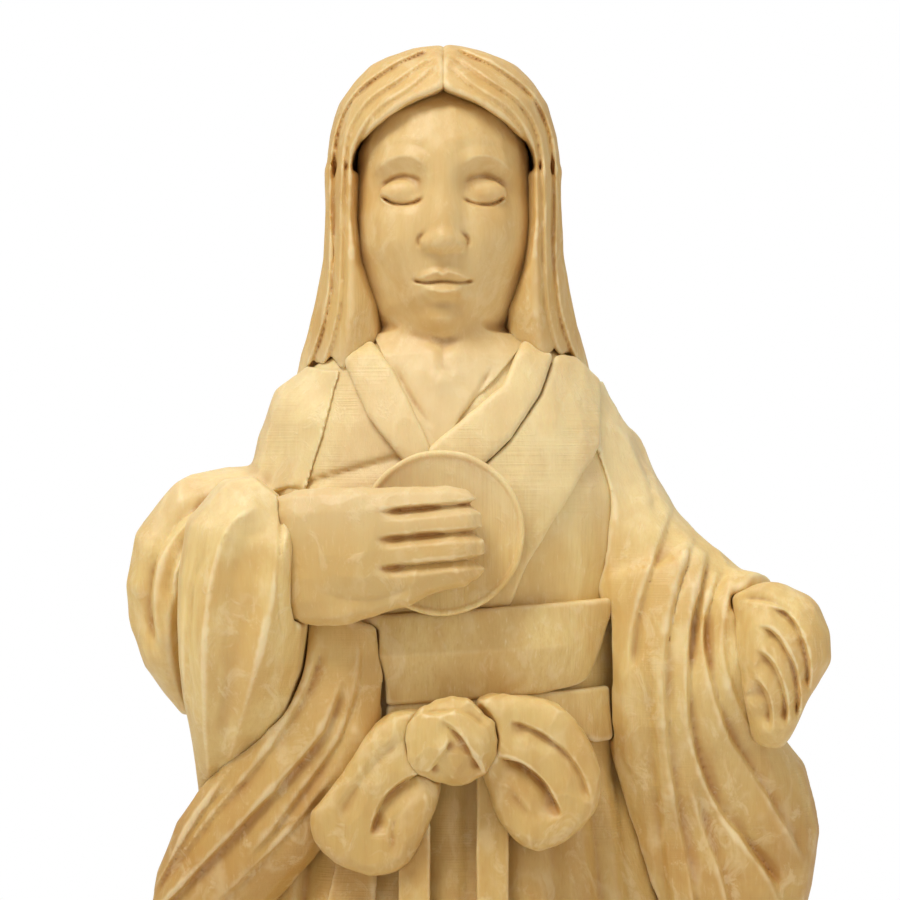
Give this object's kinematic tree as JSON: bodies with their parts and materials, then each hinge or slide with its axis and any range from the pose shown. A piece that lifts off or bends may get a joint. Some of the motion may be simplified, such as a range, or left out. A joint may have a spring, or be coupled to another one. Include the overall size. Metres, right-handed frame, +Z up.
{
  "type": "standing figure",
  "caption": "Standing robed woman carved in joined wood blocks, with long hair, a bow-tied sash and a round mirror held to her chest, on a low plinth that she lifts off.",
  "frame": {"origin": "middle of the plinth's flat underside, which is what the object stands on", "axes": "+Z up the figure; the figure faces -Y; its right side, with the mirror hand, is at -X"},
  "size_m": [0.1054, 0.068, 0.214],
  "materials": {
    "figure": "satin, hand carved, thin wax",
    "plinth": "satin, planed, thin wax",
    "dowel": "raw split dowel"
  },
  "bodies": {
    "stand": {"plinth": "plinth"},
    "figure": {"bow_knot": "figure", "bow_loop_left": "figure", "bow_loop_right": "figure", "bow_tail_left": "figure", "bow_tail_right": "figure", "collar_left": "figure", "collar_right": "figure", "dowel_bow": "dowel", "dowel_fall_left": "dowel", "dowel_fall_right": "dowel", "dowel_mirror": "dowel", "dowel_shoulder_left": "dowel", "dowel_shoulder_right": "dowel", "dowel_trunk_lower": "dowel", "dowel_trunk_upper": "dowel", "dowel_wrist_left": "dowel", "dowel_wrist_right": "dowel", "face_and_neck": "figure", "foot_left": "figure", "foot_right": "figure", "hair_crown_left": "figure", "hair_crown_right": "figure", "hair_fall": "figure", "hair_lock_left": "figure", "hair_lock_right": "figure", "hand_left": "figure", "hand_right": "figure", "lapel_left": "figure", "mirror": "figure", "obi_back": "figure", "obi_front": "figure", "sash_back": "figure", "sash_front": "figure", "skirt_overlap": "figure", "sleeve_left_fall": "figure", "sleeve_left_upper": "figure", "sleeve_right_cuff": "figure", "sleeve_right_fall": "figure", "sleeve_right_upper": "figure", "trunk_back": "figure", "trunk_front": "figure"}
  },
  "joints": [
    {"name": "figure_lift", "type": "slide", "parent": "stand", "child": "figure", "axis": [0, 0, 1], "range_m": [0, 0.03]}
  ]
}
